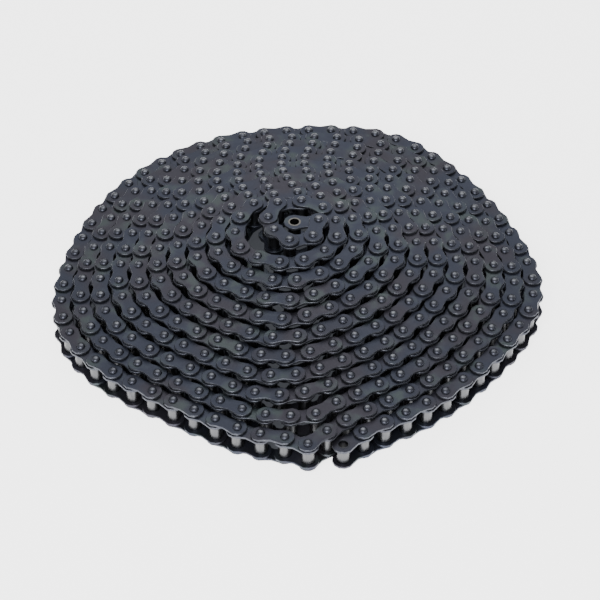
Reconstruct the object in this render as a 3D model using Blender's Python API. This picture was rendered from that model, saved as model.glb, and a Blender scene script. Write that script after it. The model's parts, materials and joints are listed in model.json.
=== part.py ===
"""A coil of 3/8 inch bush roller chain lying on its side, its turns stepped up towards the middle.

The chain is one strand wound as a spiral. Its pins stand upright. Going inwards, each turn lies
one pair of plates higher than the turn around it, so that its lower plates reach in between the
neighbour's upper and lower plates, and the coil is a shallow cone.
"""
import math

import bmesh
import bpy
from mathutils import Matrix, Vector

for old in list(bpy.data.objects):
    bpy.data.objects.remove(old, do_unlink=True)

# Chain sizes, in metres
PITCH = 0.009525
INNER_WIDTH = 0.0070
PLATE_THICKNESS = 0.0010
INNER_PLATE_HEIGHT = 0.0085
OUTER_PLATE_HEIGHT = 0.0076
BUSH_DIAMETER = 0.00508
PIN_DIAMETER = 0.00359
PIN_PROUD = 0.0010
RUNNING_GAP = 0.0001

# Clearances between separate solids, in metres
NEST_GAP = 0.0002
BORE_GAP = 0.00015
SEAM_GAP = 0.0003
SINK = 0.00015
LEVEL_TOLERANCE = 0.000001

# Levels above and below the middle of the chain
INNER_LOW = INNER_WIDTH / 2
INNER_HIGH = INNER_LOW + PLATE_THICKNESS
OUTER_LOW = INNER_HIGH + RUNNING_GAP
OUTER_HIGH = OUTER_LOW + PLATE_THICKNESS
PIN_END = OUTER_HIGH + PIN_PROUD
TURN_RISE = OUTER_HIGH - INNER_LOW + NEST_GAP

# The coil's plan, in pitches, with turns counted inwards from the outer end
TURN_SPACING = 0.742
CORE_TURN = 10.98
CORE_RADIUS = 1.287
CORE_SLACK = 0.15
SLACK_TURNS = 2.5
START_ANGLE = math.radians(281.24)
RAMP_LENGTH = 4.0
LONGEST_STEP = 0.3
HALVINGS = 40

# Corners that push the turns outwards: direction and half width in degrees, power (1 is a sharp
# corner and 2 a round one), the outermost turn's reach in pitches, and how many turns in it fades
CORNERS = (
    (274.4, 4.0, 1, 1.49, 2.89),
    (267.0, 17.1, 2, 0.90, 10.91),
    (200.6, 23.6, 2, 0.92, 10.91),
    (350.9, 18.9, 2, 0.73, 10.91),
    (63.3, 17.8, 2, 0.57, 4.45),
)

# The last links curl into the open middle: each one's bend in degrees, and its level in turns
CURL_TURN = 10.57
CURL = ((60, 10.0), (37, 10.6), (26, 11.0), (66, 11.0), (60, 11.0), (105, 11.0))

PLAIN_WEB_WIDTH = 0.0040
BUSH_SIDES = 6
HEAD_SIDES = 4
PLATE_CORNERS = 3
ROUND_SIDES = 16
END_CORNERS = 9
END_NARROWING = 0.4
END_REACH = 0.97
WIDEST_MITRE = 0.5

COLOURS = {
    "plate": ((0.055, 0.060, 0.072, 1.0), 0.45, 0.9),
    "end": ((0.070, 0.074, 0.085, 1.0), 0.42, 0.9),
}


def corner_bulge(angle, turn, corner):
    """How far a corner pushes a turn outwards, in pitches."""
    middle, width, power, reach, depth = corner
    away = (angle - math.radians(middle) + math.pi) % (2 * math.pi) - math.pi
    fade = max(0.0, 1 - turn / depth)
    return reach * fade * math.exp(-abs(away / math.radians(width)) ** power)


def level(turn):
    """Which turn's height the chain has, with a ramp of a few pitches at the end of each turn."""
    whole = math.floor(turn)
    radius = CORE_RADIUS + TURN_SPACING * (CORE_TURN - whole - 0.5)
    ramp = RAMP_LENGTH / (2 * math.pi * radius)
    climb = (turn - whole - 1 + ramp) / ramp
    climb = min(max(climb, 0.0), 1.0)
    return whole + climb * climb * (3 - 2 * climb)


def path(turn):
    """The middle of the chain, this many turns in from the outer end.

    The tight turns in the middle stand a little further apart, as short straight links need.
    """
    angle = START_ANGLE + 2 * math.pi * turn
    outward = CORE_TURN - turn
    radius = CORE_RADIUS + TURN_SPACING * outward + CORE_SLACK * (1 - math.exp(-outward / SLACK_TURNS))
    radius += sum(corner_bulge(angle, turn, corner) for corner in CORNERS)
    radius *= PITCH
    height = PIN_END + TURN_RISE * level(turn)
    return Vector((radius * math.cos(angle), radius * math.sin(angle), height))


def next_turn(turn):
    """The point of the path that lies one pitch further in."""
    low, high = turn, turn + LONGEST_STEP
    start = path(turn)
    for _ in range(HALVINGS):
        middle = (low + high) / 2
        if (path(middle) - start).length < PITCH:
            low = middle
        else:
            high = middle
    return high


def step_from(pin, heading, height):
    """The point at this height that lies one pitch away from a pin."""
    rise = height - pin.z
    reach = math.sqrt(PITCH ** 2 - rise ** 2)
    return pin + Vector((reach * math.cos(heading), reach * math.sin(heading), rise))


def pin_places():
    """Pin centres from the outer open eye to the inner one, and how many turns in each lies.

    Inner links start at even pins and outer links at odd ones.
    """
    turns = [0.0]
    while next_turn(turns[-1]) < CURL_TURN:
        turns.append(next_turn(turns[-1]))
    if len(turns) % 2:
        turns.pop()
    pins = [path(turn) for turn in turns]
    along = pins[-1] - pins[-2]
    heading = math.atan2(along.y, along.x)
    for bend, turn_level in CURL:
        heading += math.radians(bend)
        pins.append(step_from(pins[-1], heading, PIN_END + TURN_RISE * turn_level))
        turns.append(turn_level)
    return pins, turns


def new_object(name, mesh, kind):
    colour, roughness, metallic = COLOURS[kind]
    material = bpy.data.materials.new(name)
    material.use_nodes = True
    shader = material.node_tree.nodes["Principled BSDF"]
    shader.inputs["Base Color"].default_value = colour
    shader.inputs["Roughness"].default_value = roughness
    shader.inputs["Metallic"].default_value = metallic
    mesh.materials.append(material)
    item = bpy.data.objects.new(name, mesh)
    bpy.context.collection.objects.link(item)
    return item


def closed_mesh(name, bm):
    """Turn the work mesh into a mesh with its faces pointing out."""
    bmesh.ops.recalc_face_normals(bm, faces=bm.faces)
    mesh = bpy.data.meshes.new(name)
    bm.to_mesh(mesh)
    bm.free()
    return mesh


def add_prism(bm, outline, low, high):
    """Fill the space from low to high above a closed outline."""
    bottom = bm.faces.new([bm.verts.new(point + Vector((0, 0, low))) for point in outline])
    walls = bmesh.ops.extrude_face_region(bm, geom=[bottom], use_keep_orig=True)
    raised = [part for part in walls["geom"] if isinstance(part, bmesh.types.BMVert)]
    bmesh.ops.translate(bm, verts=raised, vec=(0, 0, high - low))


def round_outline(centre, radius, sides):
    angles = [2 * math.pi * side / sides for side in range(sides)]
    return [centre + radius * Vector((math.cos(a), math.sin(a), 0)) for a in angles]


def plate_outline(start, end, height, corners):
    """A link plate's outline, with round ends and its face along the line from pin to pin."""
    along = end - start
    heading = math.atan2(along.y, along.x)
    slope = along.z / along.to_2d().length
    outline = []
    for centre, facing in ((start, heading + math.pi), (end, heading)):
        for corner in range(corners):
            angle = facing + math.pi * (corner / (corners - 1) - 0.5)
            forward = height / 2 * math.cos(angle - heading)
            offset = Vector((height / 2 * math.cos(angle), height / 2 * math.sin(angle), forward * slope))
            outline.append(centre + offset)
    return outline


def side_vectors(points):
    """At each point of a run, the vector that points left and keeps the run's width in a bend."""
    sides = []
    for index in range(len(points)):
        before = points[max(index - 1, 0)]
        here = points[index]
        after = points[min(index + 1, len(points) - 1)]
        come = (here - before).to_2d() if index > 0 else (after - here).to_2d()
        leave = (after - here).to_2d() if index < len(points) - 1 else come
        come.normalize()
        leave.normalize()
        mean = (come + leave).normalized()
        left = Vector((-mean.y, mean.x, 0))
        sides.append(left / max(mean.dot(come), WIDEST_MITRE))
    return sides


def is_on_a_ramp(face):
    """Whether a face of a run lies across a climb, where its four corners aren't in one plane."""
    heights = [corner.co.z for corner in face.verts]
    return len(heights) == 4 and abs(face.normal.z) > 0.5 and max(heights) - min(heights) > LEVEL_TOLERANCE


def add_run(bm, points, section, rounded=None):
    """Carry a closed section of (left, up) points along a run, and cap both ends.

    The plates' round end is at the run's first point or last one, where rounded names it.
    """
    sides = side_vectors(points)
    if rounded is not None:
        sides[rounded] *= END_NARROWING
    rings = []
    for point, side in zip(points, sides):
        rings.append([bm.verts.new(point + side * left + Vector((0, 0, up))) for left, up in section])
    count = len(section)
    for ring, following in zip(rings, rings[1:]):
        for corner in range(count):
            other = (corner + 1) % count
            bm.faces.new((ring[corner], ring[other], following[other], following[corner]))
    bm.faces.new(rings[0])
    bm.faces.new(reversed(rings[-1]))
    bm.normal_update()
    bmesh.ops.triangulate(bm, faces=[face for face in bm.faces if is_on_a_ramp(face)])


def combine(body, extra, operation):
    """Join another object's shape to this one or cut it away, and drop that object."""
    modifier = body.modifiers.new(extra.name, "BOOLEAN")
    modifier.operation = operation
    modifier.solver = "EXACT"
    modifier.object = extra
    evaluated = body.evaluated_get(bpy.context.evaluated_depsgraph_get())
    joined = bpy.data.meshes.new_from_object(evaluated)
    body.modifiers.remove(modifier)
    body.data = joined
    bpy.data.objects.remove(extra, do_unlink=True)


def union(body, extra):
    combine(body, extra, "UNION")


def guide_object(name, bm):
    item = bpy.data.objects.new(name, closed_mesh(name, bm))
    bpy.context.collection.objects.link(item)
    return item


def flange_section(low, high):
    half = INNER_PLATE_HEIGHT / 2
    return [(-half, low), (half, low), (half, high), (-half, high)]


def plain_section():
    """Both rows of plates and a plain web between them, as the inner turns have."""
    half = INNER_PLATE_HEIGHT / 2
    web = PLAIN_WEB_WIDTH / 2
    return [(-half, -OUTER_HIGH), (half, -OUTER_HIGH), (half, -INNER_LOW), (web, -INNER_LOW),
            (web, INNER_LOW), (half, INNER_LOW), (half, INNER_HIGH), (-half, INNER_HIGH),
            (-half, INNER_LOW), (-web, INNER_LOW), (-web, -INNER_LOW), (-half, -INNER_LOW)]


def run_points(pins, first, last):
    """The run from the middle of one inner link to the middle of another, short of the seams."""
    half_seam = SEAM_GAP / 2
    start = pins[first].lerp(pins[first + 1], 0.5)
    start += (pins[first + 1] - pins[first]).normalized() * half_seam
    end = pins[last].lerp(pins[last + 1], 0.5)
    end -= (pins[last + 1] - pins[last]).normalized() * half_seam
    return [start] + pins[first + 1:last + 1] + [end]


def outer_plates(pins, links, sign, near_level):
    """The outer plates above (sign 1) or below (sign -1) the middle of the chain."""
    low, high = sorted((sign * near_level, sign * OUTER_HIGH))
    bm = bmesh.new()
    for link in links:
        outline = plate_outline(pins[link], pins[link + 1], OUTER_PLATE_HEIGHT, PLATE_CORNERS)
        add_prism(bm, outline, low, high)
    return guide_object("outer_plates", bm)


def round_pieces(name, pins, which, diameter, sides, low, high):
    """The same upright round piece at several pins."""
    bm = bmesh.new()
    for index in which:
        add_prism(bm, round_outline(pins[index], diameter / 2, sides), low, high)
    return guide_object(name, bm)


def pin_heads(pins, which, sign):
    low, high = sorted((sign * (OUTER_HIGH - SINK), sign * PIN_END))
    return round_pieces("pin_heads", pins, which, PIN_DIAMETER, HEAD_SIDES, low, high)


def bushes(pins, which):
    """The bushes between the two rows of plates."""
    reach = INNER_LOW + SINK
    return round_pieces("bushes", pins, which, BUSH_DIAMETER, BUSH_SIDES, -reach, reach)


def hinge_link(pins, link):
    """An outer link with both its pins whole, so that the inner link on it can turn."""
    both = (link, link + 1)
    whole = round_pieces("hinge_pins", pins, both, PIN_DIAMETER, ROUND_SIDES, -PIN_END, PIN_END)
    union(whole, outer_plates(pins, [link], 1, OUTER_LOW))
    union(whole, outer_plates(pins, [link], -1, OUTER_LOW))
    return whole


def plain_turn(name, pins, points, links):
    """A turn between others: its plates and a plain web, with the upper outer plates on it."""
    bm = bmesh.new()
    add_run(bm, points, plain_section())
    turn = new_object(name, closed_mesh(name, bm), "plate")
    union(turn, outer_plates(pins, links, 1, INNER_HIGH - SINK))
    return turn


def open_turn(name, pins, points, links, rounded):
    """A turn whose side shows: bushes between two rows of plates, and pin heads on both faces."""
    bm = bmesh.new()
    add_run(bm, points, flange_section(-INNER_HIGH, -INNER_LOW), rounded)
    add_run(bm, points, flange_section(INNER_LOW, INNER_HIGH), rounded)
    turn = new_object(name, closed_mesh(name, bm), "plate")
    held = sorted(pin for link in links for pin in (link, link + 1))
    union(turn, bushes(pins, held))
    for sign in (1, -1):
        union(turn, outer_plates(pins, links, sign, INNER_HIGH - SINK))
        union(turn, pin_heads(pins, held, sign))
    return turn


def end_link(name, pins, eye, hinge):
    """An end inner link, two plates pressed on two bushes, open right through at both pins."""
    bm = bmesh.new()
    outline = plate_outline(pins[eye], pins[hinge], INNER_PLATE_HEIGHT, END_CORNERS)
    for low, high in ((-INNER_HIGH, -INNER_LOW), (INNER_LOW, INNER_HIGH)):
        add_prism(bm, outline, low, high)
    link = new_object(name, closed_mesh(name, bm), "end")
    both = (eye, hinge)
    reach = INNER_LOW + SINK
    union(link, round_pieces("bushes", pins, both, BUSH_DIAMETER, ROUND_SIDES, -reach, reach))
    bore = PIN_DIAMETER + 2 * BORE_GAP
    combine(link, round_pieces("bores", pins, both, bore, ROUND_SIDES, -PIN_END, PIN_END), "DIFFERENCE")
    return link


def centring_shift():
    """The move that brings the middle of the coil's outline over the origin."""
    places = [vertex.co for item in bpy.data.objects for vertex in item.data.vertices]
    middle_x = (min(place.x for place in places) + max(place.x for place in places)) / 2
    middle_y = (min(place.y for place in places) + max(place.y for place in places)) / 2
    return Vector((-middle_x, -middle_y, 0))


def seam_links(turns, last):
    """The inner link nearest to the end of each whole turn, where one solid ends."""
    wholes = range(1, math.ceil(CURL_TURN))
    return [min(range(0, last, 2), key=lambda pin: abs(turns[pin] - whole)) for whole in wholes]


def build():
    pins, turns = pin_places()
    last = len(pins) - 3
    plate_end = INNER_PLATE_HEIGHT / 2 * END_REACH
    starts = [0] + seam_links(turns, last)
    ends = starts[1:] + [last]
    for number, (first, final) in enumerate(zip(starts, ends)):
        name = f"turn_{number + 1:02d}"
        points = run_points(pins, first, final)
        links = list(range(first + 1, final, 2))
        if number == 0:
            points[:2] = [pins[2] + (pins[1] - pins[2]).normalized() * plate_end]
            turn = open_turn(name, pins, points, links[1:], 0)
            union(turn, bushes(pins, [2]))
            union(turn, hinge_link(pins, 1))
        elif final == last:
            points[-1] = pins[last] + (pins[last] - pins[last - 1]).normalized() * plate_end
            turn = open_turn(name, pins, points, links, -1)
            union(turn, bushes(pins, [last]))
            union(turn, hinge_link(pins, last))
        else:
            turn = plain_turn(name, pins, points, links)
    end_link("outer_end_link", pins, 0, 1)
    end_link("inner_end_link", pins, len(pins) - 1, len(pins) - 2)
    shift = centring_shift()
    for item in bpy.data.objects:
        item.data.transform(Matrix.Translation(shift))
    for name, pin in (("outer hinge", pins[1]), ("inner hinge", pins[-2])):
        print(name, [round(value, 6) for value in pin + shift])
    print("links", len(pins) - 1)


build()
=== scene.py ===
# %% [markdown]
# # A coil of roller chain
#
# The object is one long strand of small bush chain, wound into a flat spiral on its side. Each turn
# inwards stands a little higher than the one around it, so the coil is a shallow cone of plates and
# rivet ends. Only four shapes repeat all along it: an inner plate, an outer plate, a bush and a pin.
#
# A chain like this could be made with an Array and a Curve modifier, but those bend the plates. Here
# each of the four shapes is modelled once, and rigid copies are set down from pin to pin along the
# spiral, as the real links lie. The imported model is loaded first; it gives the place of the outer
# end's hinge, and its parts are hidden where the new pieces stand in for them.

# %% Load the frame
import json
import math
import random

import bpy
from mathutils import Matrix, Vector


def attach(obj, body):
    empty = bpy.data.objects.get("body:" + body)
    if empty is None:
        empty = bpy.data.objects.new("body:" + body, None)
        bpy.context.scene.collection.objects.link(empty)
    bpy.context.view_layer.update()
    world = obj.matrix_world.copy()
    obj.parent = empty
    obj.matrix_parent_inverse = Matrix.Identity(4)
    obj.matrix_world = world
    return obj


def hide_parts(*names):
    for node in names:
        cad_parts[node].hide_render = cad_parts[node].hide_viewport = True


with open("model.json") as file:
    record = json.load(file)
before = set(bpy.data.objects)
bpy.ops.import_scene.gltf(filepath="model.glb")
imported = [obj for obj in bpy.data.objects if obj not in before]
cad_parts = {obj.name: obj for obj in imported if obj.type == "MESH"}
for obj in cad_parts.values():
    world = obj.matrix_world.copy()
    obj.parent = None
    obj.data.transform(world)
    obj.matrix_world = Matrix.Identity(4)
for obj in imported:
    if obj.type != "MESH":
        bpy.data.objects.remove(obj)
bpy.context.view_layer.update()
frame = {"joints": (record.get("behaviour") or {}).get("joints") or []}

# %% [markdown]
# ## The sizes of the chain
#
# Everything follows from the pitch, the distance from pin to pin, which is 3/8 inch. The widths and
# heights below are those of the solids, so that each visible piece lies where its solid lies.

# %% Sizes of the chain, in metres
PITCH = 0.009525
INNER_WIDTH = 0.0070
PLATE_THICKNESS = 0.0010
INNER_PLATE_HEIGHT = 0.0085
OUTER_PLATE_HEIGHT = 0.0076
BUSH_DIAMETER = 0.00508
PIN_DIAMETER = 0.00359
PIN_PROUD = 0.0010
RUNNING_GAP = 0.0001
NEST_GAP = 0.0002

INNER_LOW = INNER_WIDTH / 2
INNER_HIGH = INNER_LOW + PLATE_THICKNESS
OUTER_LOW = INNER_HIGH + RUNNING_GAP
OUTER_HIGH = OUTER_LOW + PLATE_THICKNESS
PIN_END = OUTER_HIGH + PIN_PROUD
TURN_RISE = OUTER_HIGH - INNER_LOW + NEST_GAP
print("a pin is", round(2000 * PIN_END, 2), "mm long and a turn rises", round(1000 * TURN_RISE, 2), "mm")

# %% [markdown]
# ## The path of the strand
#
# The real strand was wound by hand, so it isn't a perfect spiral: it has soft corners and a sharp one
# at the front, and the free end inside curls over. The path below is the same one that the solids
# follow. It is counted in turns from the outer end, and each pin is found by stepping one pitch
# along it.

# %% The plan of the coil
TURN_SPACING = 0.742
CORE_TURN = 10.98
CORE_RADIUS = 1.287
CORE_SLACK = 0.15
SLACK_TURNS = 2.5
START_ANGLE = math.radians(281.24)
RAMP_LENGTH = 4.0
CORNERS = (
    (274.4, 4.0, 1, 1.49, 2.89),
    (267.0, 17.1, 2, 0.90, 10.91),
    (200.6, 23.6, 2, 0.92, 10.91),
    (350.9, 18.9, 2, 0.73, 10.91),
    (63.3, 17.8, 2, 0.57, 4.45),
)
CURL_TURN = 10.57
CURL = ((60, 10.0), (37, 10.6), (26, 11.0), (66, 11.0), (60, 11.0), (105, 11.0))


def corner_bulge(angle, turn, corner):
    middle, width, power, reach, depth = corner
    away = (angle - math.radians(middle) + math.pi) % (2 * math.pi) - math.pi
    return reach * max(0.0, 1 - turn / depth) * math.exp(-abs(away / math.radians(width)) ** power)


def level(turn):
    whole = math.floor(turn)
    radius = CORE_RADIUS + TURN_SPACING * (CORE_TURN - whole - 0.5)
    ramp = RAMP_LENGTH / (2 * math.pi * radius)
    climb = min(max((turn - whole - 1 + ramp) / ramp, 0.0), 1.0)
    return whole + climb * climb * (3 - 2 * climb)


def path(turn):
    angle = START_ANGLE + 2 * math.pi * turn
    outward = CORE_TURN - turn
    radius = CORE_RADIUS + TURN_SPACING * outward + CORE_SLACK * (1 - math.exp(-outward / SLACK_TURNS))
    radius = PITCH * (radius + sum(corner_bulge(angle, turn, corner) for corner in CORNERS))
    height = PIN_END + TURN_RISE * level(turn)
    return Vector((radius * math.cos(angle), radius * math.sin(angle), height))


# %% Step from pin to pin
def next_turn(turn):
    low, high = turn, turn + 0.3
    start = path(turn)
    for _ in range(40):
        middle = (low + high) / 2
        if (path(middle) - start).length < PITCH:
            low = middle
        else:
            high = middle
    return high


def pin_places():
    turns = [0.0]
    while next_turn(turns[-1]) < CURL_TURN:
        turns.append(next_turn(turns[-1]))
    if len(turns) % 2:
        turns.pop()
    places = [path(turn) for turn in turns]
    along = places[-1] - places[-2]
    heading = math.atan2(along.y, along.x)
    for bend, turn_level in CURL:
        heading += math.radians(bend)
        rise = PIN_END + TURN_RISE * turn_level - places[-1].z
        reach = math.sqrt(PITCH ** 2 - rise ** 2)
        step = Vector((reach * math.cos(heading), reach * math.sin(heading), rise))
        places.append(places[-1] + step)
        turns.append(turn_level)
    return places, turns


pins, turns = pin_places()
hinge = Vector(next(joint["pos_m"] for joint in frame["joints"] if joint["child"] == "outer_end"))
shift = hinge - pins[1]
pins = [pin + shift for pin in pins]
print(len(pins) - 1, "links, and the spiral's centre is moved by",
      [round(1000 * v, 2) for v in shift], "mm")

# %% [markdown]
# ## The camera
#
# The view is from the front and well above, with a long lens, so the coil hardly tapers towards the
# back. The camera is made first, so that each step can be looked at.

# %% Camera
CAMERA_ELEVATION = math.radians(42.73)
CAMERA_AZIMUTH = math.radians(-0.29)
CAMERA_ROLL = math.radians(0.58)
CAMERA_DISTANCE = 0.9757
CAMERA_LENS = 148.2

aim = Vector((0.00315, -0.01916, 0.01323)) + shift
forward = Vector((math.sin(CAMERA_AZIMUTH) * math.cos(CAMERA_ELEVATION),
                  math.cos(CAMERA_AZIMUTH) * math.cos(CAMERA_ELEVATION), -math.sin(CAMERA_ELEVATION)))
right = Vector((math.cos(CAMERA_AZIMUTH), -math.sin(CAMERA_AZIMUTH), 0))
upward = right.cross(forward)
turned_right = math.cos(CAMERA_ROLL) * right - math.sin(CAMERA_ROLL) * upward
turned_up = math.sin(CAMERA_ROLL) * right + math.cos(CAMERA_ROLL) * upward

camera_data = bpy.data.cameras.new("camera")
camera_data.sensor_width = 36
camera_data.lens = CAMERA_LENS
camera = bpy.data.objects.new("camera", camera_data)
bpy.context.scene.collection.objects.link(camera)
axes = Matrix((turned_right, turned_up, -forward)).transposed().to_4x4()
camera.matrix_world = Matrix.Translation(aim - CAMERA_DISTANCE * forward) @ axes
bpy.context.scene.camera = camera
print("camera at", [round(value, 3) for value in camera.matrix_world.translation])


# %% [markdown]
# ## Writing materials as sums
#
# A steel finish is a sum of small effects: grain, oil, wear on the edges. Linking each Math node by hand
# is long, so a small class wraps a socket and lets Python's own signs add the nodes.

# %% Shader maths
class Wire:
    """A socket of a material, or a plain number, that can be added, multiplied and so on."""

    def __init__(self, finish, socket):
        self.finish = finish
        self.socket = socket

    def maths(self, operation, *values):
        return self.finish.node("ShaderNodeMath", {"operation": operation}, list(values))

    def __add__(self, other):
        return self.maths("ADD", self, other)

    __radd__ = __add__

    def __sub__(self, other):
        return self.maths("SUBTRACT", self, other)

    def __rsub__(self, other):
        return self.maths("SUBTRACT", other, self)

    def __mul__(self, other):
        return self.maths("MULTIPLY", self, other)

    __rmul__ = __mul__

    def clipped(self):
        return self.finish.node("ShaderNodeClamp", {}, [self, 0.0, 1.0])

    def over(self, low, high):
        """0 below low, 1 above high and smooth between them."""
        smooth = {"interpolation_type": "SMOOTHSTEP"}
        return self.finish.node("ShaderNodeMapRange", smooth, [self, low, high])

    def near(self, value, width):
        """1 where this is equal to the value, and 0 further away than the width."""
        return 1 - self.maths("ABSOLUTE", self - value).over(0.0, width)


class Finish:
    """A material whose nodes are added from one method."""

    def __init__(self, name, metallic, roughness):
        self.material = bpy.data.materials.new(name)
        self.material.use_nodes = True
        self.nodes = self.material.node_tree.nodes
        self.links = self.material.node_tree.links
        self.shader = self.nodes["Principled BSDF"]
        self.shader.inputs["Metallic"].default_value = metallic
        self.shader.inputs["Roughness"].default_value = roughness

    def put(self, socket, value):
        if isinstance(value, Wire):
            self.links.new(value.socket, socket)
        else:
            socket.default_value = value

    def node(self, kind, settings, inputs, output=0):
        """Add a node: first its settings, then its inputs by number or by name."""
        made = self.nodes.new(kind)
        for name, value in settings.items():
            setattr(made, name, value)
        pairs = inputs.items() if isinstance(inputs, dict) else enumerate(inputs)
        for key, value in pairs:
            self.put(made.inputs[key], value)
        return Wire(self, made.outputs[output])

    def feed(self, name, value):
        self.put(self.shader.inputs[name], value)

    def mix(self, amount, first, second):
        """Blend two colours."""
        made = self.nodes.new("ShaderNodeMix")
        made.data_type = "RGBA"
        for key, value in ((0, amount), (6, first), (7, second)):
            self.put(made.inputs[key], value)
        return Wire(self, made.outputs[2])

    def noise(self, place, scale, detail=3.0):
        return self.node("ShaderNodeTexNoise", {}, {"Vector": place, "Scale": scale, "Detail": detail})

    def attribute(self, name, output):
        return self.node("ShaderNodeAttribute", {"attribute_name": name}, {}, output)

    def bump(self, height, strength, distance):
        inputs = {"Strength": strength, "Distance": distance, "Height": height}
        self.feed("Normal", self.node("ShaderNodeBump", {}, inputs))


# %% [markdown]
# ## The plates' finish: oiled black oxide
#
# The plates are blackened steel with a thin film of oil. The oxide is blue-black and slightly uneven,
# the oil makes faint green and purple patches, each plate is a little darker in a ring round each pin,
# and the stamped edges are rubbed down to a lighter grey. Grain and patches are noise on Object
# coordinates, so they run over the whole coil, while the rings round the pins use each plate's own
# coordinates, kept as an attribute.

# %% Oiled oxide for the plates
BLUE_BLACK = (0.038, 0.043, 0.062, 1)
BROWN_BLACK = (0.044, 0.042, 0.054, 1)
GREEN_OIL = (0.040, 0.052, 0.052, 1)
RUBBED_STEEL = (0.085, 0.089, 0.104, 1)


def oxide(name):
    finish = Finish(name, 0.85, 0.42)
    coordinates = finish.node("ShaderNodeTexCoord", {}, {}, "Object")
    place = finish.attribute("place", "Vector")
    tone = finish.attribute("tone", "Fac")
    rim = finish.attribute("rim", "Fac")
    patches = finish.noise(coordinates, 45.0, 2.0)
    oil = finish.noise(coordinates, 110.0, 3.0)
    grain = finish.noise(coordinates, 2600.0, 3.0)
    scuffs = finish.noise(finish.node("ShaderNodeVectorMath", {"operation": "MULTIPLY"},
                                      [place, (350.0, 2600.0, 350.0)]), 1.0, 4.0)
    split = finish.nodes.new("ShaderNodeSeparateXYZ")
    finish.put(split.inputs[0], place)
    across = Wire(finish, split.outputs[0])
    upward = Wire(finish, split.outputs[1])
    from_pin = across.maths("ABSOLUTE", across) - PITCH / 2
    from_pin = across.maths("SQRT", from_pin * from_pin + upward * upward)
    # the plate is a little darker in a ring round each pin
    pin_ring = from_pin.near(PIN_DIAMETER / 2, 0.0009)
    colour = finish.mix(patches.over(0.42, 0.62), BLUE_BLACK, BROWN_BLACK)
    colour = finish.mix(oil.over(0.50, 0.72) * 0.8, colour, GREEN_OIL)
    shade = (tone * 0.3 + grain * 0.4 + 0.62) * (1 - pin_ring * 0.12)
    colour = finish.node("ShaderNodeVectorMath", {"operation": "SCALE"}, {0: colour, "Scale": shade})
    worn = (rim * 0.8 + scuffs.over(0.60, 0.74) * 0.2) * (0.4 + scuffs.over(0.30, 0.60) * 0.6)
    finish.feed("Base Color", finish.mix(worn.clipped(), colour, RUBBED_STEEL))
    finish.feed("Roughness", (0.34 + grain * 0.22 + tone * 0.08 - oil.over(0.45, 0.7) * 0.10).clipped())
    finish.bump(grain + scuffs * 0.5, 0.35, 0.00003)
    return finish.material


plate_finish = oxide("oiled_oxide")
print("plate finish has", len(plate_finish.node_tree.nodes), "nodes")

# %% [markdown]
# ## The pins' and the bushes' finish
#
# The rivet ends of the pins are pressed over by a spinning tool, which leaves them smoother and a little
# lighter, with faint rings. Their middles are lighter still, a painted highlight standing in for the
# glint of the light on the domed ends. The bushes are plain rolled steel. They are the lightest thing on
# the chain, darker only where oil gathers against the plates, and each has one fine seam down its side.
# A tone above one stands for a bush that is wiped clean.

# %% Rivet ends and bushes
HIGHLIGHT_RADIUS = 0.00135
SEAM_WIDTH = 0.00006
OILY_TONE = 0.0
WIPED_TONE = 2.0


def rivet_steel():
    finish = Finish("riveted_steel", 0.9, 0.38)
    place = finish.attribute("place", "Vector")
    tone = finish.attribute("tone", "Fac")
    coordinates = finish.node("ShaderNodeTexCoord", {}, {}, "Object")
    split = finish.nodes.new("ShaderNodeSeparateXYZ")
    finish.put(split.inputs[0], place)
    across, beside, height = (Wire(finish, output) for output in split.outputs)
    from_axis = across.maths("SQRT", across * across + beside * beside)
    # painted highlight: the middle of each rivet end is made lighter, for the glint of the light on the
    # dome
    middle = 1 - from_axis.over(0.0002, HIGHLIGHT_RADIUS)
    at_end = across.maths("ABSOLUTE", height).over(PIN_END - 0.0004, PIN_END - 0.0001)
    rings = across.maths("SINE", from_axis * 42000.0)
    grain = finish.noise(coordinates, 2200.0, 3.0)
    amount = (middle * at_end * (0.25 + tone * 0.5) + at_end * 0.05 + rings * 0.02).clipped()
    finish.feed("Base Color", finish.mix(amount, (0.052, 0.055, 0.072, 1), (0.22, 0.23, 0.25, 1)))
    finish.feed("Roughness", (0.30 + grain * 0.20).clipped())
    finish.bump(grain + rings * 0.15, 0.3, 0.00003)
    return finish.material


def bush_steel():
    finish = Finish("bush_steel", 1.0, 0.30)
    place = finish.attribute("place", "Vector")
    tone = finish.attribute("tone", "Fac")
    coordinates = finish.node("ShaderNodeTexCoord", {}, {}, "Object")
    split = finish.nodes.new("ShaderNodeSeparateXYZ")
    finish.put(split.inputs[0], place)
    across, beside, height = (Wire(finish, output) for output in split.outputs)
    oiled = across.maths("ABSOLUTE", height).over(INNER_LOW - 0.0007, INNER_LOW + 0.0001)
    seam = beside.near(0.0, SEAM_WIDTH) * across.over(0.0, 0.001)
    grain = finish.noise(coordinates, 1500.0, 3.0)
    stain = finish.noise(coordinates, 260.0, 3.0)
    amount = (oiled * (1 - tone * 0.4) + seam * 0.8 + stain.over(0.55, 0.75) * 0.35).clipped()
    colour = finish.mix(amount, (0.105, 0.106, 0.110, 1), (0.026, 0.027, 0.033, 1))
    wiped = tone.over(1.0, WIPED_TONE)
    finish.feed("Base Color", finish.mix(wiped, colour, (0.095, 0.092, 0.086, 1)))
    finish.feed("Roughness", (0.26 + grain * 0.18).clipped())
    finish.bump(grain - seam, 0.25, 0.00003)
    return finish.material


pin_finish = rivet_steel()
bush_finish = bush_steel()
print("pin finish has", len(pin_finish.node_tree.nodes), "nodes and bush finish",
      len(bush_finish.node_tree.nodes))


# %% [markdown]
# ## A plate, modelled once
#
# A link plate is stamped from strip. It is round at both pins and narrower between them, like a figure
# of eight. Drawing that outline as a curve would work too, but two short round discs that are bridged
# and then pinched in the middle give it with a few clean faces, which matters because it repeats
# hundreds of times. The stamping's edges are broken by a small bevel.

# %% Helpers for working in edit mode
def select_only(*items):
    bpy.ops.object.select_all(action="DESELECT")
    for item in items:
        item.select_set(True)
    bpy.context.view_layer.objects.active = items[0]


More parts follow.
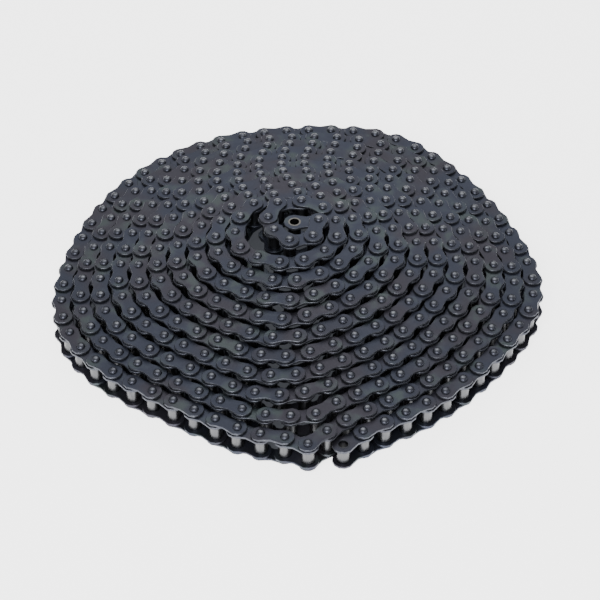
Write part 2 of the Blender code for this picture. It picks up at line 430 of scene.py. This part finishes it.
def edit(item, kind="VERT"):
    select_only(item)
    bpy.ops.object.mode_set(mode="EDIT")
    bpy.ops.mesh.select_mode(type=kind)
    bpy.ops.mesh.select_all(action="DESELECT")
    bpy.ops.object.mode_set(mode="OBJECT")


def pick(parts, test):
    """Select the parts of a mesh that pass a test, by their place or normal, and go to edit mode."""
    count = 0
    for part in parts:
        part.select = bool(test(part))
        count += part.select
    bpy.ops.object.mode_set(mode="EDIT")
    return count


def rest():
    bpy.ops.object.mode_set(mode="OBJECT")


def count_of(item):
    item.data.calc_loop_triangles()
    return f"{item.name}: {len(item.data.polygons)} faces, {len(item.data.loop_triangles)} triangles"


# %% One link plate
DISC_SIDES = 12
WAIST = 0.72
PLATE_BEVEL = 0.00014


def link_plate(name, height):
    """A figure-of-eight plate with its pins at half a pitch either side, lying flat."""
    radius = height / 2
    discs = []
    for side in (-1, 1):
        bpy.ops.mesh.primitive_cylinder_add(vertices=DISC_SIDES, radius=radius, depth=PLATE_THICKNESS,
                                            location=(side * PITCH / 2, 0, 0))
        discs.append(bpy.context.active_object)
    select_only(*discs)
    bpy.ops.object.join()
    plate = bpy.context.active_object
    bpy.ops.object.transform_apply(location=True, rotation=True, scale=True)
    plate.name = plate.data.name = name
    edit(plate, "FACE")
    facing = pick(plate.data.polygons,
                  lambda face: abs(face.normal.z) < 0.5 and face.normal.x * face.center.x < 0
                  and abs(face.normal.x) > 0.6)
    bpy.ops.mesh.bridge_edge_loops(number_cuts=1, interpolation="LINEAR")
    rest()
    edit(plate)
    pick(plate.data.vertices, lambda corner: abs(corner.co.x) < 0.1 * PITCH)
    bpy.ops.transform.resize(value=(1, WAIST / math.sin(math.radians(60)), 1))
    bpy.ops.mesh.select_all(action="SELECT")
    bpy.ops.mesh.normals_make_consistent(inside=False)
    bpy.ops.mesh.dissolve_limited(angle_limit=math.radians(1))
    rest()
    print("bridged", facing, "faces of", name)
    return plate


def break_edges(plate, width):
    """Bevel the rims of a plate and mark its stamped sides, which the finish wears bright."""
    edit(plate, "EDGE")
    flat = {tuple(sorted(key)) for face in plate.data.polygons if abs(face.normal.z) > 0.9
            for key in face.edge_keys}
    pick(plate.data.edges, lambda edge: tuple(sorted(edge.vertices)) in flat)
    bpy.ops.mesh.bevel(offset=width, segments=1, affect="EDGES")
    rest()
    rim = plate.data.attributes.new("rim", "FLOAT", "FACE")
    for face in plate.data.polygons:
        rim.data[face.index].value = 0.0 if abs(face.normal.z) > 0.95 else 1.0
    select_only(plate)
    bpy.ops.object.shade_smooth_by_angle(angle=math.radians(35))


inner_plate = link_plate("inner_plate", INNER_PLATE_HEIGHT)
break_edges(inner_plate, PLATE_BEVEL)
outer_plate = link_plate("outer_plate", OUTER_PLATE_HEIGHT)
break_edges(outer_plate, PLATE_BEVEL)
print(count_of(inner_plate), "|", count_of(outer_plate))

# %% [markdown]
# ## A bush and a pin
#
# A bush is a short tube that holds the two inner plates apart. It starts as a rod: both ends are inset
# to the bore and the two inset faces are bridged, which opens the bore right through. A pin is a rod
# whose two ends are rounded over where they were riveted, so its end edges get a two-step bevel.

# %% One bush and one pin
BUSH_BORE = PIN_DIAMETER + 0.0003
BUSH_PROUD = 0.00003
RIVET_ROUND = 0.00095
ROD_SIDES = 12


def bush_tube():
    bpy.ops.mesh.primitive_cylinder_add(vertices=ROD_SIDES, radius=BUSH_DIAMETER / 2,
                                        depth=2 * (INNER_HIGH + BUSH_PROUD))
    tube = bpy.context.active_object
    tube.name = tube.data.name = "bush"
    edit(tube, "FACE")
    pick(tube.data.polygons, lambda face: abs(face.normal.z) > 0.9)
    bpy.ops.mesh.inset(thickness=(BUSH_DIAMETER - BUSH_BORE) / 2, use_individual=True)
    bpy.ops.mesh.bridge_edge_loops()
    bpy.ops.mesh.select_all(action="SELECT")
    bpy.ops.mesh.normals_make_consistent(inside=False)
    rest()
    bpy.ops.object.shade_smooth_by_angle(angle=math.radians(35))
    return tube


def riveted_pin():
    bpy.ops.mesh.primitive_cylinder_add(vertices=ROD_SIDES, radius=PIN_DIAMETER / 2, depth=2 * PIN_END)
    rod = bpy.context.active_object
    rod.name = rod.data.name = "pin"
    edit(rod, "EDGE")
    corners = rod.data.vertices
    pick(rod.data.edges, lambda edge: abs(sum(corners[index].co.z for index in edge.vertices)) > PIN_END)
    bpy.ops.mesh.bevel(offset=RIVET_ROUND, segments=2, affect="EDGES")
    rest()
    bpy.ops.object.shade_smooth_by_angle(angle=math.radians(50))
    return rod


bush = bush_tube()
pin = riveted_pin()
print(count_of(bush), "|", count_of(pin))

# %% [markdown]
# ## The open plates of the two end links
#
# At each end of the strand the last inner link has a free eye, and one can see through its bush. So
# the plates of these two links are bored, with a Boolean, while all the others are closed by their pins.

# %% A bored inner plate
def bored_plate():
    plate = link_plate("bored_plate", INNER_PLATE_HEIGHT)
    for side in (-1, 1):
        bpy.ops.mesh.primitive_cylinder_add(vertices=24, radius=BUSH_DIAMETER / 2 - 0.00005,
                                            depth=4 * PLATE_THICKNESS, location=(side * PITCH / 2, 0, 0))
        drill = bpy.context.active_object
        select_only(plate)
        bore = plate.modifiers.new("bore", "BOOLEAN")
        bore.operation = "DIFFERENCE"
        bore.object = drill
        bpy.ops.object.modifier_apply(modifier=bore.name)
        bpy.data.objects.remove(drill, do_unlink=True)
    break_edges(plate, 0.00006)
    return plate


end_plate = bored_plate()
print(count_of(end_plate))

# %% [markdown]
# ## Each shape keeps its own coordinates
#
# Before a shape is copied, every point stores where it lies on the shape. The copies keep these numbers
# wherever they go, and the finishes use them for what follows the shape, such as the darker ring round a
# pin.

# %% Store the coordinates and give the finish
for shape, finish in ((inner_plate, plate_finish), (outer_plate, plate_finish),
                      (end_plate, plate_finish), (bush, bush_finish), (pin, pin_finish)):
    place = shape.data.attributes.new("place", "FLOAT_VECTOR", "POINT")
    for corner in shape.data.vertices:
        place.data[corner.index].vector = corner.co
    shape.data.attributes.new("tone", "FLOAT", "POINT")
    if "rim" not in shape.data.attributes:
        shape.data.attributes.new("rim", "FLOAT", "FACE")
    shape.data.materials.clear()
    shape.data.materials.append(finish)
print("shapes", [shape.name for shape in (inner_plate, outer_plate, end_plate, bush, pin)])

# %% [markdown]
# ## Laying the links
#
# Even steps of the path are inner links, two plates on two bushes. Odd steps are outer links, two
# plates on two pins. A copy is set down by a matrix whose first axis runs from pin to pin. Where the
# strand climbs to the next level, the plates lean with it and the pins stay upright. The rubbed rims of
# the lower plates are dimmed to a tenth as painted shade, for the shadow they lie in facing the floor.

# %% Copy a shape to its place
# painted shade: how much of their rubbed brightness the lower plates' rims keep
LOWER_RIM_SHADE = 0.1
chance = random.Random(35)


def lay(shape, origin, along, height, tone=None):
    """A copy of a shape with its own mesh, along this direction and at this height over the path."""
    copy = shape.copy()
    copy.data = shape.data.copy()
    bpy.context.scene.collection.objects.link(copy)
    side = Vector((-along.y, along.x, 0)).normalized()
    axes = Matrix((along, side, Vector((0, 0, 1)))).transposed().to_4x4()
    copy.data.transform(Matrix.Translation(origin + Vector((0, 0, height))) @ axes)
    tone = chance.random() if tone is None else tone
    copy.data.attributes["tone"].data.foreach_set("value", [tone] * len(copy.data.vertices))
    # painted shade: the rubbed rims of the lower plates are dimmed
    if height < 0:
        for side_face in copy.data.attributes["rim"].data:
            side_face.value *= LOWER_RIM_SHADE
    return copy


def inner_link(start, end, plate, tone=None):
    along = (end - start) / PITCH
    middle = (start + end) / 2
    height = INNER_LOW + PLATE_THICKNESS / 2
    parts = [lay(plate, middle, along, side * height) for side in (-1, 1)]
    turn = chance.random() * 2 * math.pi
    facing = Vector((math.cos(turn), math.sin(turn), 0))
    return parts + [lay(bush, spot, facing, 0, tone) for spot in (start, end)]


def outer_link(start, end):
    along = (end - start) / PITCH
    middle = (start + end) / 2
    height = OUTER_LOW + PLATE_THICKNESS / 2
    parts = [lay(outer_plate, middle, along, side * height) for side in (-1, 1)]
    return parts + [lay(pin, spot, Vector((1, 0, 0)), 0) for spot in (start, end)]


def joined(parts, name):
    select_only(*parts)
    bpy.ops.object.join()
    piece = bpy.context.active_object
    piece.name = piece.data.name = name
    return piece


# %% Lay the eleven turns
last = len(pins) - 1
seams = [min(range(0, last - 2, 2), key=lambda index: abs(turns[index] - whole))
         for whole in range(1, 11)]
starts = [1] + [seam + 1 for seam in seams]
ends = starts[1:] + [last - 1]
pieces = []
for number, (first, final) in enumerate(zip(starts, ends), 1):
    parts = []
    for index in range(first, final):
        if index % 2:
            parts += outer_link(pins[index], pins[index + 1])
        else:
            parts += inner_link(pins[index], pins[index + 1], inner_plate)
    turn = joined(parts, f"chain_turn_{number:02d}")
    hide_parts(f"turn_{number:02d}")
    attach(turn, "coil")
    pieces.append(turn)
    print(count_of(turn), "from", final - first, "links")

# %% [markdown]
# ## The two open eyes
#
# The end links are laid like all inner links, but with the bored plates. One can see the ends of their
# bushes, which are dark with oil at the outer eye and wiped bright at the inner one.

# %% The two end links
for name, body, start, end, tone in (("outer_eye_link", "outer_end", 0, 1, OILY_TONE),
                                     ("inner_eye_link", "inner_end", last, last - 1, WIPED_TONE)):
    link = joined(inner_link(pins[start], pins[end], end_plate, tone), name)
    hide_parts(f"{body}_link")
    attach(link, body)
    pieces.append(link)
    print(count_of(link))

for shape in (inner_plate, outer_plate, end_plate, bush, pin):
    bpy.data.objects.remove(shape, do_unlink=True)

# %% [markdown]
# ## Floor and light
#
# The coil lies on a light table, a plain pale surface that is lit from below, so it throws almost no
# shadow and the bushes shine in its light. A dark card cut to the coil's outline lies under it, so that
# almost no light comes up through the links: a painted shadow, standing in for the coil's shade on the
# glowing table. The card itself glows a faint blue, a painted fill light that keeps the open middle from
# being black. The room is dim and soft, with a large light above and behind, which puts small bright
# spots on the rivet ends on top of their painted highlights, and a wide one in front that reaches into
# the gaps between the turns.

# %% Floor
FLOOR_HEIGHT = -0.0002
TABLE_GLOW = 3.0

bpy.ops.mesh.primitive_plane_add(size=6, location=(0, 0, FLOOR_HEIGHT))
floor = bpy.context.active_object
floor.name = "floor"
floor_finish = Finish("pale_floor", 0.0, 0.7)
spread = floor_finish.noise(floor_finish.node("ShaderNodeTexCoord", {}, {}, "Object"), 3.0)
floor_finish.feed("Base Color", floor_finish.mix(spread, (0.86, 0.86, 0.87, 1), (0.90, 0.90, 0.90, 1)))
floor_finish.feed("Emission Color", (1.0, 1.0, 1.0, 1))
floor_finish.feed("Emission Strength", TABLE_GLOW)
floor.data.materials.append(floor_finish.material)
print(count_of(floor))

# %% A dark card under the coil: a painted shadow with a faint painted fill glow
CARD_SIDES = 58
CARD_HEIGHT = -0.0001
CARD_PAINTED_FILL_GLOW = 0.065

bpy.ops.mesh.primitive_circle_add(vertices=CARD_SIDES, radius=0.09, fill_type="NGON", location=(0, 0, 0))
card = bpy.context.active_object
card.name = "card"
for corner, under in zip(card.data.vertices, pins[1:]):
    corner.co = (under.x, under.y, CARD_HEIGHT)
# painted shadow: the card's dark colour stands in for the coil's shade on the table, and its faint blue
# glow is painted fill light
card_finish = Finish("painted_shadow_card", 0.0, 0.8)
fibres = card_finish.noise(card_finish.node("ShaderNodeTexCoord", {}, {}, "Object"), 400.0)
card_finish.feed("Base Color", card_finish.mix(fibres, (0.05, 0.05, 0.06, 1), (0.08, 0.08, 0.09, 1)))
card_finish.feed("Emission Color", (0.82, 0.88, 1.0, 1))
card_finish.feed("Emission Strength", CARD_PAINTED_FILL_GLOW)
card.data.materials.append(card_finish.material)
print(count_of(card))

# %% Light
ROOM_LIGHT = 0.5

world = bpy.data.worlds.new("soft_room")
bpy.context.scene.world = world
world.use_nodes = True
world.node_tree.nodes["Background"].inputs["Color"].default_value = (1.0, 1.0, 1.0, 1)
world.node_tree.nodes["Background"].inputs["Strength"].default_value = ROOM_LIGHT


def soft_light(name, place, size, watts):
    data = bpy.data.lights.new(name, "AREA")
    data.shape = "SQUARE"
    data.size = size
    data.energy = watts
    lamp = bpy.data.objects.new(name, data)
    bpy.context.scene.collection.objects.link(lamp)
    lamp.location = place
    lamp.rotation_euler = (-Vector(place)).to_track_quat("-Z", "Y").to_euler()
    return lamp


soft_light("top_light", (0.0, 0.50, 0.57), size=0.40, watts=1.55)
soft_light("front_light", (-0.2, -1.0, 0.9), size=0.7, watts=20)
